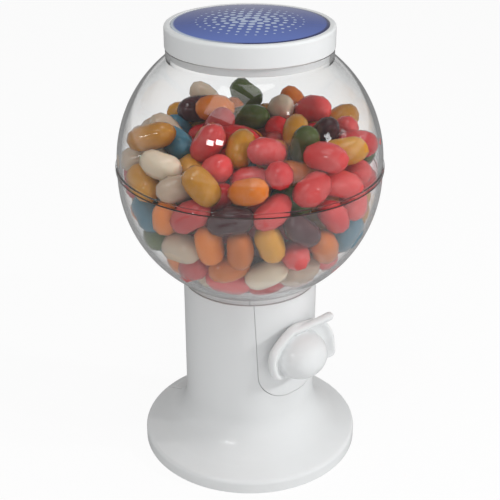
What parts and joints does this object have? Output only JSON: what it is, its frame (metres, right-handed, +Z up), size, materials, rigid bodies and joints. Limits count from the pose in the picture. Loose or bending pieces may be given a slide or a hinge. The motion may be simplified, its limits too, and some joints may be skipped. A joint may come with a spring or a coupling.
{
  "type": "gumball machine",
  "caption": "Table-top sweet dispenser: clear two-part globe of jelly beans on a flared white pedestal, with a lift-off lid, a turning knob and pocketed wheel, and a chute.",
  "frame": {"origin": "centre of the foot, on the surface the machine stands on", "axes": "+Z up along the column; the knob and front panel face -Y; +X to the right seen from the front"},
  "size_m": [0.1132, 0.1132, 0.1972],
  "materials": {
    "white_plastic": "glossy moulded white plastic with faint flow marks and fine scuffs",
    "clear_plastic": "clear moulded plastic, slightly hazy in the lower half",
    "label_resin": "blue printed disc under a domed clear resin",
    "steel": "zinc-plated steel",
    "rubber": "matt black rubber",
    "beans_red": "glossy sugar shell",
    "beans_coral": "glossy sugar shell",
    "beans_orange": "glossy sugar shell",
    "beans_amber": "glossy sugar shell",
    "beans_green": "glossy sugar shell",
    "beans_teal": "glossy sugar shell",
    "beans_cream": "glossy sugar shell",
    "beans_plum": "glossy sugar shell"
  },
  "bodies": {
    "machine": {"pedestal": "white_plastic", "front_panel": "white_plastic", "foot_cover": "white_plastic", "foot_pads": "rubber", "cover_screws": "steel", "lower_globe": "clear_plastic", "upper_globe": "clear_plastic", "hopper": "white_plastic", "wheel_housing": "white_plastic", "housing_screws": "steel", "chute": "white_plastic", "beans_red": "beans_red", "beans_coral": "beans_coral", "beans_orange": "beans_orange", "beans_amber": "beans_amber", "beans_green": "beans_green", "beans_teal": "beans_teal", "beans_cream": "beans_cream", "beans_plum": "beans_plum"},
    "knob": {"knob": "white_plastic", "drive_shaft": "white_plastic", "dispensing_wheel": "white_plastic", "wheel_screw": "steel", "thrust_washer": "steel"},
    "lid": {"lid": "white_plastic", "lid_label": "label_resin"}
  },
  "joints": [
    {"name": "knob_turn", "type": "hinge", "parent": "machine", "child": "knob", "pos_m": [0, -0.0305, 0.059], "axis": [0, -1, 0], "continuous": true},
    {"name": "lid_lift", "type": "slide", "parent": "machine", "child": "lid", "axis": [0, 0, 1], "range_m": [0, 0.04]}
  ]
}
